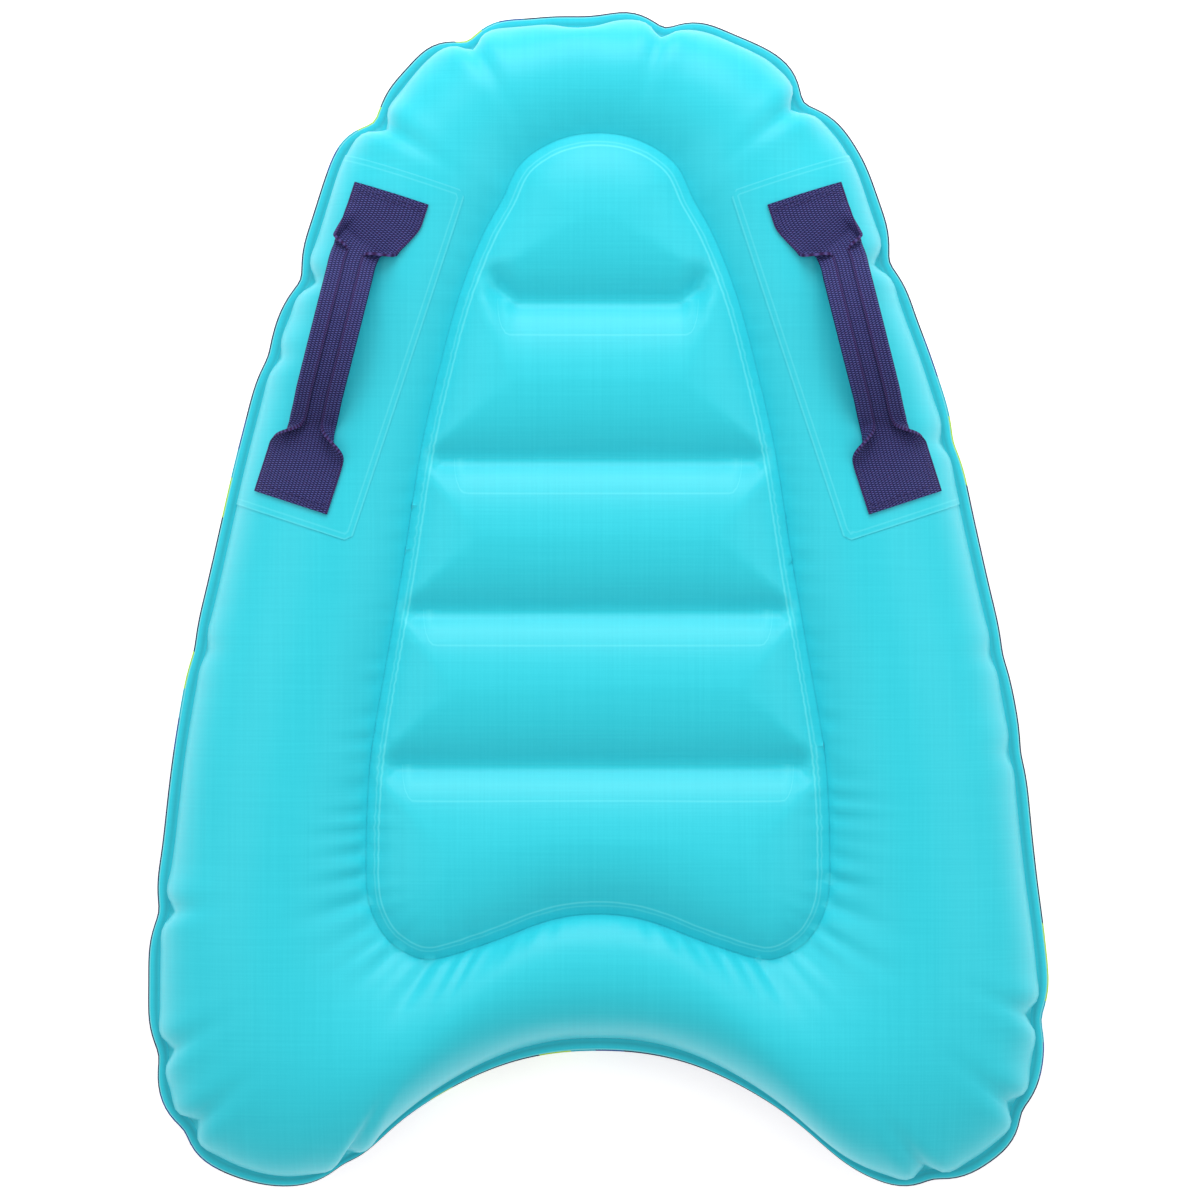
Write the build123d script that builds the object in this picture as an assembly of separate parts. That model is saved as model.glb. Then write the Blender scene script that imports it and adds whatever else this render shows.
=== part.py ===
from build123d import *
from build123d.topology import SkipClean
import math
import os

# Inflatable bodyboard. X right, +Y nose, +Z up, origin on the floor under the middle of its box.
# All sizes in millimetres.
LENGTH = 730.0          # nose to tail tips
WIDTH = 560.0           # across the widest part, near the tail
RISE = 48.0             # ring tube above the middle plane, approached where it is wide
FULLNESS = 62.0         # narrower stretches of the ring than this rise less
WALL = 50.0             # height of the walls between the top and bottom sheets
SHEET = 0.6             # coated fabric
LIP = 7.0               # flat welded lip round the rim
BAND = 8.0              # flat weld band inside the ring seam and along each cross weld
PILLOW = 13.0           # how far each channel of the middle bulges past its welds
FOOT = 1.0              # how far a channel's side stands on the weld bands
CHANNEL_ROUND = 16.0    # plan rounding of a channel's corners
WEB = 0.5               # fabric of the inner walls
CROSS_WELDS = [0.507, 0.238, -0.019, -0.282]   # of half the length

HANDLE_X = 0.566        # middle of a handle, of half the width
HANDLE_Y = 0.427        # of half the length
HANDLE_TILT = 18.1      # degrees, tail end outward
HANDLE_LENGTH = 201.0
PAD_WIDTH = 48.0        # flat webbing
UPPER_PAD = 37.0
LOWER_PAD = 50.0
WEBBING = 1.8           # one layer of webbing
GRIP_WIDTH = 27.0       # webbing folded lengthwise
GRIP_THICK = 3.6
GRIP_ROOT = 10.5        # length of the strap's rising root at each pad
GRIP_START = 9.0        # height of the swing line over the patch
GRIP_RISE = 20.0        # arch of the grip over its swing line
GRIP_LEAN = 4.0         # degrees outward
PATCH = 0.5             # reinforcement under each handle
PATCH_IN = 43.0         # patch past the handle's middle line, inward
PATCH_LONG = 114.0      # half length of a patch
GAP = 0.3               # between pieces that move past each other
LAY = 0.02              # between layers sewn or welded face to face on the ring

VALVE_BORE = 5.3
VALVE_STEM = 8.7
VALVE_DEEP = 18.0
VALVE_FLANGE = 17.0
FLANGE_THICK = 0.9
PLUG_HEAD = 8.0
PLUG_THICK = 2.2
PLUG_LONG = 10.0
CENTRE_VALVE_Y = -0.41  # of half the length

SEAM_Z = WALL / 2       # weld height over the middle plane

# Ring stations on the right half from nose to tail: seam point, then rim point,
# as shares of half the width and half the length.
STATIONS = [
    ((0.000, 0.792), (0.000, 1.000)),
    ((0.086, 0.781), (0.186, 0.989)),
    ((0.170, 0.740), (0.372, 0.940)),
    ((0.207, 0.685), (0.486, 0.849)),
    ((0.250, 0.625), (0.593, 0.745)),
    ((0.307, 0.515), (0.664, 0.575)),
    ((0.350, 0.395), (0.739, 0.422)),
    ((0.393, 0.247), (0.807, 0.241)),
    ((0.429, 0.068), (0.861, 0.060)),
    ((0.475, -0.137), (0.918, -0.137)),
    ((0.504, -0.296), (0.954, -0.307)),
    ((0.511, -0.438), (0.979, -0.479)),
    ((0.504, -0.512), (1.000, -0.636)),
    ((0.475, -0.562), (0.982, -0.808)),
    ((0.432, -0.592), (0.900, -0.940)),
    ((0.375, -0.608), (0.725, -1.000)),
    ((0.300, -0.597), (0.561, -0.967)),
    ((0.207, -0.573), (0.425, -0.882)),
    ((0.107, -0.545), (0.221, -0.797)),
    ((0.000, -0.534), (0.000, -0.770)),
]


def place(share):
    return Vector(share[0] * WIDTH / 2, share[1] * LENGTH / 2, 0)


def stations():
    """All stations round the ring, the left half mirrored from the right."""
    right = [(place(seam), place(rim)) for seam, rim in STATIONS]
    left = [(Vector(-s.X, s.Y, 0), Vector(-r.X, r.Y, 0)) for s, r in reversed(right[1:-1])]
    return right + left


def tube(width):
    """Half width, centre and rise of the ring's oval section at a station of this width."""
    rise = RISE * math.tanh(width / FULLNESS)
    start = math.asin((SEAM_Z + SHEET) / rise)
    half = (width - LIP) / (1 + math.cos(start))
    return half, width - LIP - half, rise


MIDDLE = max(tube((rim - seam).length)[2] for seam, rim in stations()) + SHEET


def over(width, lift, z_seam, z_rim):
    """Points across the tube from the seam side to the rim side, lifted off its inner face."""
    half, centre, rise = tube(width)
    first = math.asin(z_seam / (rise + lift))
    last = math.pi - math.asin(z_rim / (rise + lift))
    points = []
    for i in range(9):
        angle = first + (last - first) * i / 8
        points.append((centre - (half + lift) * math.cos(angle), (rise + lift) * math.sin(angle)))
    return points


def section(seam, rim, make, side):
    """A closed face in the upright plane of one ring station, over or under the middle plane."""
    width = (rim - seam).length
    out = (rim - seam).normalized()

    def spot(point):
        return Vector(seam.X, seam.Y, MIDDLE) + out * point[0] + Vector(0, 0, side * point[1])

    edges = []
    for kind, points in make(width):
        if kind == "curve":
            edges.append(Edge.make_spline([spot(p) for p in points]))
        else:
            edges += [Edge.make_line(spot(a), spot(b)) for a, b in zip(points, points[1:])]
    return Face(Wire(edges))


def ring(make, side=1):
    """A closed loop through every station."""
    wires = [section(seam, rim, make, side).outer_wire() for seam, rim in stations()]
    return Solid.make_loft(wires + [wires[0]], ruled=True)


def sheet_section(width):
    """The sheet with its lap over the middle's band, its bulge and its rim lip."""
    low = SEAM_Z + SHEET
    inner = over(width, 0, low, 0)
    outer = over(width, SHEET, low + SHEET, SHEET)
    lap = BAND - 4
    return [
        ("line", [outer[-1], (width, SHEET), (width, 0), inner[-1]]),
        ("curve", inner[::-1]),
        ("line", [inner[0], (-lap, low), (-lap, low + SHEET), outer[0]]),
        ("curve", outer),
    ]


def layer(low, high, side=1):
    """A thin layer that follows the top or the underside of the ring."""
    seam = SEAM_Z + SHEET * 2

    def make(width):
        below = over(width, low, seam, SHEET)
        above = over(width, high, seam, SHEET)
        return [
            ("curve", below),
            ("line", [below[-1], above[-1]]),
            ("curve", above[::-1]),
            ("line", [above[0], below[0]]),
        ]

    return ring(make, side)


def under(part):
    """The same shape on the other side of the middle plane."""
    return part.mirror(Plane.XY.offset(MIDDLE))


def seam_outline(inset=0.0):
    """Plan of the middle inside the ring seam, or that much smaller."""
    spots = [seam - (rim - seam).normalized() * inset for seam, rim in stations()]
    tail = len(STATIONS)
    right = Edge.make_spline(spots[:tail], tangents=[(1, 0, 0), (-1, 0, 0)])
    left = Edge.make_spline(spots[tail - 1:] + spots[:1], tangents=[(-1, 0, 0), (1, 0, 0)])
    face = Face(Wire([right, left]))
    return face if face.normal_at().Z > 0 else -face


def slab(face, low, high):
    """An upright prism between two heights over the middle plane."""
    return Solid.extrude(Pos(0, 0, MIDDLE + low) * face, Vector(0, 0, high - low))


def channel(number):
    """Plan of one channel between two cross welds, standing on the edges of the bands."""
    lines = [LENGTH] + [share * LENGTH / 2 for share in CROSS_WELDS] + [-LENGTH]
    high = lines[number] - BAND / 2 + FOOT
    low = lines[number + 1] + BAND / 2 - FOOT
    if number == 4:
        inner = [seam - (rim - seam).normalized() * (BAND - FOOT) for seam, rim in stations()]
        right = [Vector(inner[10].X, high)] + [inner[i] for i in (11, 13, 15, 17)]
        left = [Vector(-p.X, p.Y) for p in reversed(right)]
        shape = make_face(Polyline(*right, inner[19], *left, close=True))
        return fillet(shape.vertices(), CHANNEL_ROUND / 2).face()
    strip = Pos(0, (high + low) / 2) * Rectangle(WIDTH, high - low)
    shape = (Sketch() + seam_outline(BAND - FOOT)) & strip
    corners = [v for v in shape.vertices() if abs(v.X) > WIDTH / 20]
    return fillet(corners, CHANNEL_ROUND).face()


def pillow(number, inset):
    """A low pillow over one channel, or the hollow in it when inset by the fabric."""
    foot = channel(number).outer_wire()
    box = foot.bounding_box()
    middle = box.center().Y
    wires = []
    for step, share in ((0, 0), (5, 0.45), (12, 0.82), (22, 1)):
        across = 1 - 2 * (step + inset) / box.size.X
        along = 1 - 2 * (step + inset) / box.size.Y
        height = MIDDLE + SEAM_Z + SHEET + share * (PILLOW - inset)
        rows = [[across, 0, 0, 0], [0, along, 0, middle * (1 - along)], [0, 0, 1, height], [0, 0, 0, 1]]
        wires.append(foot.transform_geometry(Matrix(rows)))
    return Solid.make_loft(wires)


def seam_polygon(inset):
    """Straight-sided plan of the seam, for the pieces that stand along it."""
    spots = [seam - (rim - seam).normalized() * inset for seam, rim in stations()]
    return make_face(Polyline(*spots, close=True))


def upright(low, high, near, far):
    """Loop along the ring seam, from near to far inside it, between two heights."""
    outer = extrude(Pos(0, 0, MIDDLE + low) * seam_polygon(near), amount=high - low, dir=(0, 0, 1))
    inner = extrude(Pos(0, 0, MIDDLE + low) * seam_polygon(far), amount=high - low, dir=(0, 0, 1))
    return (outer - inner).solid()


def half_across(y, inset):
    """Half the middle's width at one height along the board, inside the seam."""
    row = seam_outline(inset) & (Pos(0, y) * Rectangle(WIDTH, 1))
    return row.bounding_box().max.X


def middle_sheet():
    """Flat weld bands with a raised channel standing over each opening between them."""
    sheet = upright(SEAM_Z, SEAM_Z + SHEET, 0, BAND)
    for share in CROSS_WELDS:
        y = share * LENGTH / 2
        long = 2 * half_across(y, BAND * 0.7)
        sheet = sheet.fuse(Pos(0, y, MIDDLE + SEAM_Z + SHEET / 2) * Solid.make_box(
            long, BAND, SHEET, Plane((-long / 2, -BAND / 2, -SHEET / 2))))
    return sheet.fuse(*[pillow(number, 0) - pillow(number, SHEET) for number in range(5)])


def chamber_wall():
    return upright(-SEAM_Z, SEAM_Z, BAND / 2 - WEB / 2, BAND / 2 + WEB / 2)


def cross_wall(index):
    """A web with a flange at both edges, short of the chamber wall at its ends."""
    y = CROSS_WELDS[index] * LENGTH / 2
    half = half_across(y, BAND) * (0.62, 0.74, 0.84, 0.84)[index]
    web = Pos(0, y, MIDDLE) * Box(2 * half, WEB, WALL)
    for side in (-1, 1):
        web += Pos(0, y, MIDDLE + side * (SEAM_Z - WEB / 2)) * Box(2 * half, BAND - 1, WEB)
    return web


def handle_frame():
    """Plane of the right handle: x outward, y toward its nose end."""
    origin = place((HANDLE_X, HANDLE_Y))
    turn = math.radians(HANDLE_TILT)
    return Plane(origin=origin, x_dir=(math.cos(turn), math.sin(turn), 0), z_dir=(0, 0, 1))


def column(shape):
    """An upright prism through the upper half of the board over a shape in the handle's plane."""
    return extrude(handle_frame() * shape, amount=2 * MIDDLE + 60) - Pos(0, 0, MIDDLE / 2) * Box(
        2 * WIDTH, 2 * LENGTH, MIDDLE)


def patch():
    shape = Pos(40 - PATCH_IN / 2, 2) * Rectangle(80 + PATCH_IN, 2 * PATCH_LONG)
    shape = fillet(shape.vertices().group_by(Axis.X)[0], 6)
    return layer(SHEET + LAY, SHEET + PATCH) & column(shape)


def pad_rows():
    """Start and end of each pad along the handle, toward the nose."""
    half = HANDLE_LENGTH / 2
    return {"upper": (half - UPPER_PAD, half), "lower": (-half, LOWER_PAD - half)}


def pad_shape(which):
    low, high = pad_rows()[which]
    shape = Pos(0, (low + high) / 2) * Rectangle(PAD_WIDTH, high - low)
    return fillet(shape.vertices(), 3)


def swing_line(top):
    """Ends of the line the right grip swings about, at its lower and upper root."""
    frame = handle_frame()
    rows = pad_rows()
    ends = []
    for w, v in ((3.0, rows["lower"][1] + GRIP_ROOT), (7.0, rows["upper"][0] - GRIP_ROOT)):
        spot = frame.from_local_coords(Vector(w, v, 0))
        hits = top.find_intersection_points(Axis(spot, (0, 0, 1)))
        ends.append(Vector(spot.X, spot.Y, max(p.Z for p, n in hits) + PATCH + GRIP_START))
    return ends


def strap_face(points, ends):
    """Upright face of a strap of even thickness along points (share along, height)."""
    start, end = ends
    along = (end - start).normalized()
    side = along.cross(Vector(0, 0, 1)).normalized()
    up = side.cross(along)
    length = (end - start).length

    def spot(share, height):
        return start + along * (share * length) + up * height

    half = GRIP_THICK / 2
    below = Edge.make_spline([spot(s, h - half) for s, h in points])
    above = Edge.make_spline([spot(s, h + half) for s, h in points])
    caps = [Edge.make_line(below @ 0, above @ 0), Edge.make_line(below @ 1, above @ 1)]
    return Face(Wire([below, above] + caps)), side


def strap(points, ends):
    face, side = strap_face(points, ends)
    solid = Solid.extrude(face, side * GRIP_WIDTH).translate(side * (-GRIP_WIDTH / 2))
    return solid.rotate(Axis(ends[0], ends[1] - ends[0]), GRIP_LEAN)


def grip(ends):
    share = GAP / 2 / (ends[1] - ends[0]).length
    points = []
    for i in range(9):
        s = share + (1 - 2 * share) * i / 8
        points.append((s, GRIP_RISE * (1 - (2 * s - 1) ** 2)))
    return strap(points, ends)


def pad(which, ends, cloth, ground):
    """A flat webbing pad with the root of the strap rising out of it."""
    length = (ends[1] - ends[0]).length
    gap = GAP / 2 / length
    root = GRIP_ROOT / length
    drop = GRIP_START - GRIP_THICK / 2
    points = [(-gap, 0), (-root * 0.5, -drop * 0.45), (-root, -drop * 0.8), (-root * 2, -drop - 1)]
    if which == "upper":
        points = [(1 - s, h) for s, h in points]
    stub = strap(points, ends) - ground
    return (cloth & column(pad_shape(which))) + stub


def stitches(thread):
    """Rows of thread along both sides and the free end of each pad of a handle."""
    rows = Sketch()
    for low, high in pad_rows().values():
        toward = 4 if low < 0 else -4
        outer = Rectangle(PAD_WIDTH - 5, high - low - 6)
        inner = Pos(0, toward) * Rectangle(PAD_WIDTH - 7, high - low - 2)
        rows += Pos(0, (low + high) / 2) * (outer - inner)
    return thread & column(rows)


def valve_base(at, flange):
    """Flange on the outside of the bottom sheet with the stem inside the chamber."""
    stem = Pos(at.X, at.Y, at.Z + VALVE_DEEP / 2) * Cylinder(VALVE_STEM, VALVE_DEEP)
    bore = Pos(at.X, at.Y, at.Z + VALVE_DEEP / 2) * Cylinder(VALVE_BORE, VALVE_DEEP * 3)
    return (flange + stem) - bore


def valve_plug(at):
    head = Pos(at.X, at.Y, at.Z - GAP - PLUG_THICK / 2) * Cylinder(PLUG_HEAD, PLUG_THICK)
    head = fillet(head.edges().group_by(Axis.Z)[0], 0.8)
    pin = Pos(at.X, at.Y, at.Z + PLUG_LONG / 2 - GAP) * Cylinder(VALVE_BORE - GAP, PLUG_LONG)
    tip = pin.edges().group_by(Axis.Z)[-1]
    return head + chamfer(tip, 1.2)


def valve_flap(at):
    z = at.Z + VALVE_DEEP + GAP + 0.4
    return Pos(at.X, at.Y, z) * Cylinder(VALVE_BORE + 1.4, 0.8)


def valve_tether(at):
    """Short strip from the flange to just beside the plug's head."""
    reach = VALVE_FLANGE - 1.5 - PLUG_HEAD - GAP
    x = at.X + PLUG_HEAD + GAP + reach / 2
    strip = Pos(x, at.Y, at.Z - GAP - 0.9) * Box(reach, 3.4, 0.8)
    foot = Pos(x + reach / 2 - 1.5, at.Y, at.Z - GAP / 2 - 0.25) * Box(3.0, 3.4, GAP + 0.5)
    return strip + foot


def hole(at):
    return Pos(at.X, at.Y, at.Z) * Cylinder(VALVE_STEM + GAP, 12)


def keep(name, part, colour):
    part.color = Color(*colour)
    export_step(part, f"parts/{name}.step")


os.makedirs("parts", exist_ok=True)
TEAL = (0.10, 0.70, 0.78)
NAVY = (0.03, 0.03, 0.12)
PRINT = (0.06, 0.09, 0.30)
CLEAR = (0.80, 0.85, 0.85)

ring_top = ring(sheet_section)
centre_top = middle_sheet()
tail_seam, tail_rim = (place(share) for share in STATIONS[-1])
tail_half, tail_centre, tail_rise = tube((tail_rim - tail_seam).length)
ring_valve = Vector(0, tail_seam.Y - tail_centre, MIDDLE - tail_rise - SHEET - FLANGE_THICK)
centre_valve = Vector(0, CENTRE_VALVE_Y * LENGTH / 2, MIDDLE - SEAM_Z - SHEET - PILLOW - FLANGE_THICK)

keep("ring_top_sheet", ring_top, TEAL)
ring_bottom = ring(sheet_section, -1)
with SkipClean():
    ring_bottom = ring_bottom - hole(ring_valve)
keep("ring_bottom_sheet", ring_bottom, PRINT)
keep("centre_top_sheet", centre_top, TEAL)
keep("centre_bottom_sheet", under(centre_top) - hole(centre_valve), PRINT)
keep("chamber_wall", chamber_wall(), TEAL)
for number in range(4):
    keep(f"cross_wall_{number + 1}", cross_wall(number), TEAL)

swing = swing_line(ring_top)
cloth = layer(SHEET + PATCH + LAY, SHEET + PATCH + WEBBING)
ground = layer(-8, SHEET + PATCH + LAY)
thread = layer(SHEET + PATCH + WEBBING + LAY, SHEET + PATCH + WEBBING + 0.5)
right = {"handle_patch": (patch(), TEAL), "handle_grip": (grip(swing), NAVY)}
right["handle_upper_pad"] = (pad("upper", swing, cloth, ground), NAVY)
right["handle_lower_pad"] = (pad("lower", swing, cloth, ground), NAVY)
right["handle_stitching"] = (stitches(thread), NAVY)
for name, (part, colour) in right.items():
    keep(f"{name}_right", part, colour)
    keep(f"{name}_left", part.mirror(Plane.YZ), colour)

skin = layer(SHEET + LAY, SHEET + FLANGE_THICK, -1)
disc = Pos(ring_valve.X, ring_valve.Y, 0) * Cylinder(VALVE_FLANGE, 4 * MIDDLE)
flat = Pos(centre_valve.X, centre_valve.Y, centre_valve.Z + FLANGE_THICK / 2) * Cylinder(
    VALVE_FLANGE, FLANGE_THICK)
for name, at, flange in (("ring", ring_valve, skin & disc), ("centre", centre_valve, flat)):
    keep(f"{name}_valve_base", valve_base(at, flange), CLEAR)
    keep(f"{name}_valve_plug", valve_plug(at), CLEAR)
    keep(f"{name}_valve_flap", valve_flap(at), CLEAR)
    keep(f"{name}_valve_tether", valve_tether(at), CLEAR)
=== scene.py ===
import math
import bmesh
import bpy
import numpy as np
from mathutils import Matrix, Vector
from mathutils.bvhtree import BVHTree
from mathutils.geometry import delaunay_2d_cdt


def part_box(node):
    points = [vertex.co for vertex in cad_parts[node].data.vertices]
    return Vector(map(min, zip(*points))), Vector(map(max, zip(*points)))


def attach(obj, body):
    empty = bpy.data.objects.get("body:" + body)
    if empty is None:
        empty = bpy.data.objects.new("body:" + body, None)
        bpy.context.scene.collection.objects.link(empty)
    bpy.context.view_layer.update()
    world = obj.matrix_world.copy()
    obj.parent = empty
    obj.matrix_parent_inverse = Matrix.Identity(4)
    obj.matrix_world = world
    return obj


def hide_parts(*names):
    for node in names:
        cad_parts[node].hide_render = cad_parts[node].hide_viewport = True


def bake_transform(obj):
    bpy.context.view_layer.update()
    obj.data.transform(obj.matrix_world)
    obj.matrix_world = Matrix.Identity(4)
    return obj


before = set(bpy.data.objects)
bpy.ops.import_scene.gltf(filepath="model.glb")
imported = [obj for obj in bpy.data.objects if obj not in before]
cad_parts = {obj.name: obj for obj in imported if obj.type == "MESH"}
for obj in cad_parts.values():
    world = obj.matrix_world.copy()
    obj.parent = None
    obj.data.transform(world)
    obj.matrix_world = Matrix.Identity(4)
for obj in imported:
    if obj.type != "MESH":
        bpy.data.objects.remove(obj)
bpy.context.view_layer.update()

rng = np.random.default_rng(7)

# ---------------------------------------------------------------------------
# Flat-cut sheets. Two coated-fabric sheets are welded at a rim lip and along an
# inner seam; each half of the ring is laid out as columns (around) by rows
# (across, seam to rim). Lengths here are millimetres about the middle plane.
low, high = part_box("ring_top_sheet")
MIDDLE = low[2] * 1000
half_w, half_l = (high[0] - low[0]) * 500, (high[1] - low[1]) * 500
STATIONS = [
    (0.000, 0.792, 0.000, 1.000), (0.086, 0.781, 0.186, 0.989), (0.170, 0.740, 0.372, 0.940),
    (0.207, 0.685, 0.486, 0.849), (0.250, 0.625, 0.593, 0.745), (0.307, 0.515, 0.664, 0.575),
    (0.350, 0.395, 0.739, 0.422), (0.393, 0.247, 0.807, 0.241), (0.429, 0.068, 0.861, 0.060),
    (0.475, -0.137, 0.918, -0.137), (0.504, -0.296, 0.954, -0.307), (0.511, -0.438, 0.979, -0.479),
    (0.504, -0.512, 1.000, -0.636), (0.475, -0.562, 0.982, -0.808), (0.432, -0.592, 0.900, -0.940),
    (0.375, -0.608, 0.725, -1.000), (0.300, -0.597, 0.561, -0.967), (0.207, -0.573, 0.425, -0.882),
    (0.107, -0.545, 0.221, -0.797), (0.000, -0.534, 0.000, -0.770)]
right = np.array(STATIONS) * [half_w, half_l, half_w, half_l]
loop = np.vstack([right, right[-2:0:-1] * [-1, 1, -1, 1]])
COUNT = len(loop)
spin = 4 * np.eye(COUNT) + np.roll(np.eye(COUNT), 1, 0) + np.roll(np.eye(COUNT), -1, 0)
slope = np.linalg.solve(spin, 3 * (np.roll(loop, -1, 0) - np.roll(loop, 1, 0)))


def along(t):
    """Seam and rim points of the smooth loop through the stations."""
    i = np.floor(t).astype(int) % COUNT
    f = (t - np.floor(t))[:, None]
    j = (i + 1) % COUNT
    return ((2 * f**3 - 3 * f**2 + 1) * loop[i] + (f**3 - 2 * f**2 + f) * slope[i]
            + (3 * f**2 - 2 * f**3) * loop[j] + (f**3 - f**2) * slope[j])


COLUMNS, ROWS = 560, 40
LIP, SEAM_Z = 7.0, 26.3
knots = np.linspace(0, COUNT, 8001)
fine = along(knots[:-1])
step = np.roll(fine, -1, 0) - fine
stride = np.hypot(step[:, 2], step[:, 3]) + 0.6 * np.hypot(step[:, 0], step[:, 1])
walk = np.concatenate([[0], np.cumsum(stride)])
t = np.interp(np.linspace(0, walk[-1], COLUMNS + 1)[:-1], walk, knots)
rows = along(t)
seam, rim = rows[:, :2], rows[:, 2:]
width = np.linalg.norm(rim - seam, axis=1)
out = (rim - seam) / width[:, None]
rise = 48.0 * np.tanh(width / 62.0)
start = np.arcsin(SEAM_Z / rise)
half = (width - LIP) / (1 + np.cos(start))
angle = start[:, None] + (math.pi - start[:, None]) * np.linspace(0, 1, 400)
cx = (width - LIP - half)[:, None] - half[:, None] * np.cos(angle)
cz = rise[:, None] * np.sin(angle)
arc = np.concatenate([np.zeros((COLUMNS, 1)), np.cumsum(np.hypot(np.diff(cx), np.diff(cz)), 1)], 1)
S = np.zeros((COLUMNS, ROWS + 2, 3))
ARC = np.zeros((COLUMNS, ROWS + 2))
for i in range(COLUMNS):
    ARC[i, :ROWS] = np.linspace(0, 1, ROWS)**1.15 * arc[i, -1]
    S[i, :ROWS, :2] = seam[i] + out[i] * np.interp(ARC[i, :ROWS], arc[i], cx[i])[:, None]
    S[i, :ROWS, 2] = np.interp(ARC[i, :ROWS], arc[i], cz[i])
S[:, ROWS - 1, 2] = 0
for j in (0, 1):
    S[:, ROWS + j, :2] = seam + out * (width - LIP + LIP * (j + 1) / 2)[:, None]
    ARC[:, ROWS + j] = arc[:, -1] + LIP * (j + 1) / 2
flat = seam[:, None] + out[:, None] * ARC[:, :, None]


def around(a):
    return np.linalg.norm(np.roll(a, -1, 0) - a, axis=-1)


excess = around(flat) / np.maximum(around(S), 1e-6) - 1
for _ in range(6):
    excess = (np.roll(excess, 1, 0) + excess + np.roll(excess, -1, 0)) / 3
y_seam = seam[:, 1]
near = np.exp(-(ARC / 26.0)**2)
tailward = np.clip((150 - y_seam) / 250, 0.25, 1.0)[:, None]
ratio = 1 + 0.62 * np.clip(excess, -0.02, 0.2) + 0.035 * near * tailward

# Middle: a triangle mesh inside the seam, with the cross welds as lines in it.
WELDS = [(185, 51, 62), (87, 78, 98), (-7, 97, 114), (-103, 110, 126)]
pitch = 3.9
points = [Vector(p) for p in seam.tolist()]
pinned = []
for y, reach, run in WELDS:
    for dy in (-1.4, 1.4):
        for x in np.linspace(-run, run, int(2 * run / 3.4) | 1):
            pinned.append(len(points))
            points.append(Vector((x, y + dy + 0.75 * max(abs(x) - reach, 0) * (y > 150))))
ring_edges = [(i, (i + 1) % COLUMNS) for i in range(COLUMNS)]


def seam_distance(p):
    """Distance from each point to the nearest point of the seam."""
    best = np.full(len(p), 1e9)
    for i in range(0, COLUMNS, 2):
        best = np.minimum(best, np.hypot(*(p - seam[i]).T))
    return best


lattice = []
for r, y in enumerate(np.arange(-225, 292, pitch * 0.866)):
    for x in np.arange(-150, 150, pitch) + (pitch / 2 if r % 2 else 0):
        lattice.append((x, y))
lattice = np.array(lattice)


def within(p):
    """Whether each point is inside the seam."""
    hit = np.zeros(len(p), bool)
    a, b = seam, np.roll(seam, -1, 0)
    for (x0, y0), (x1, y1) in zip(a, b):
        cross = ((y0 > p[:, 1]) != (y1 > p[:, 1]))
        if abs(y1 - y0) > 1e-9:
            hit ^= cross & (p[:, 0] < (x1 - x0) * (p[:, 1] - y0) / (y1 - y0) + x0)
    return hit


gap = seam_distance(lattice)
keep = within(lattice) & (gap > 3.0)
for y, reach, run in WELDS:
    course = y + 0.75 * np.maximum(abs(lattice[:, 0]) - reach, 0) * (y > 150)
    keep &= ~((abs(lattice[:, 1] - course) < 3.6) & (abs(lattice[:, 0]) < run + 3))
jig = rng.normal(0, 0.25, lattice.shape)
points += [Vector(p) for p in (lattice + jig)[keep].tolist()]
done = delaunay_2d_cdt(points, ring_edges, [], 0, 1e-5)
mid_xy = np.array([tuple(v) for v in done[0]])
origin = [o[0] if o else -1 for o in done[3]]
tris = np.array([f for f in done[2] if len(f) == 3])
centre_pts = mid_xy[tris].mean(1)
tris = tris[within(centre_pts)]
area2 = np.cross(mid_xy[tris[:, 1]] - mid_xy[tris[:, 0]], mid_xy[tris[:, 2]] - mid_xy[tris[:, 0]])
tris[area2 < 0] = tris[area2 < 0][:, ::-1]
assert list(origin[:COLUMNS]) == list(range(COLUMNS)), "seam order"
MID = len(mid_xy)
pin_rows = np.array([i for i, o in enumerate(origin) if o in set(pinned)])
gap = seam_distance(mid_xy)
gap[:COLUMNS] = 0
# starting height of the middle: seam and welds low, channels arched
weld_gap = np.full(MID, 1e9)
for y, reach, run in WELDS:
    dx = np.maximum(abs(mid_xy[:, 0]) - run, 0)
    course = y + 0.75 * np.maximum(abs(mid_xy[:, 0]) - reach, 0) * (y > 150)
    weld_gap = np.minimum(weld_gap, np.hypot(dx, np.maximum(abs(mid_xy[:, 1] - course) - 2, 0)))
nearest = np.minimum(gap, weld_gap)
lift = 17.0 * (1 - np.exp(-(nearest / 19.0)))
M0 = np.column_stack([mid_xy, SEAM_Z + lift])
M0[:COLUMNS, 2] = SEAM_Z
edges = np.unique(np.sort(np.vstack([tris[:, :2], tris[:, 1:], tris[:, ::2]]), 1), axis=0)

# ---------------------------------------------------------------------------
# Inflation: springs at the flat-cut lengths, air pressure on every face.
P, V = S.copy(), np.zeros_like(S)
M, W = M0.copy(), np.zeros_like(M0)
k_line, k_shear, pressure, dt = 3000.0, 900.0, 0.33, 0.006
rest_s = around(S) * ratio
rest_u = np.linalg.norm(np.diff(S, axis=1), axis=-1)
ds = np.roll(S, -1, 0) - S
du = np.diff(S, axis=1)
rest_a = np.linalg.norm(ds[:, :-1] * ratio[:, :-1, None] + np.roll(du, -1, 0), axis=-1)
rest_b = np.linalg.norm(ds[:, :-1] * ratio[:, :-1, None] - du, axis=-1)
mid_ratio = 1 + 0.035 * np.exp(-(gap / 22.0)**2) * np.clip((150 - mid_xy[:, 1]) / 250, 0.3, 1.0)
d0 = M0[edges[:, 0]] - M0[edges[:, 1]]
rest_m = np.linalg.norm(d0, axis=1) * mid_ratio[edges].mean(1)
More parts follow.
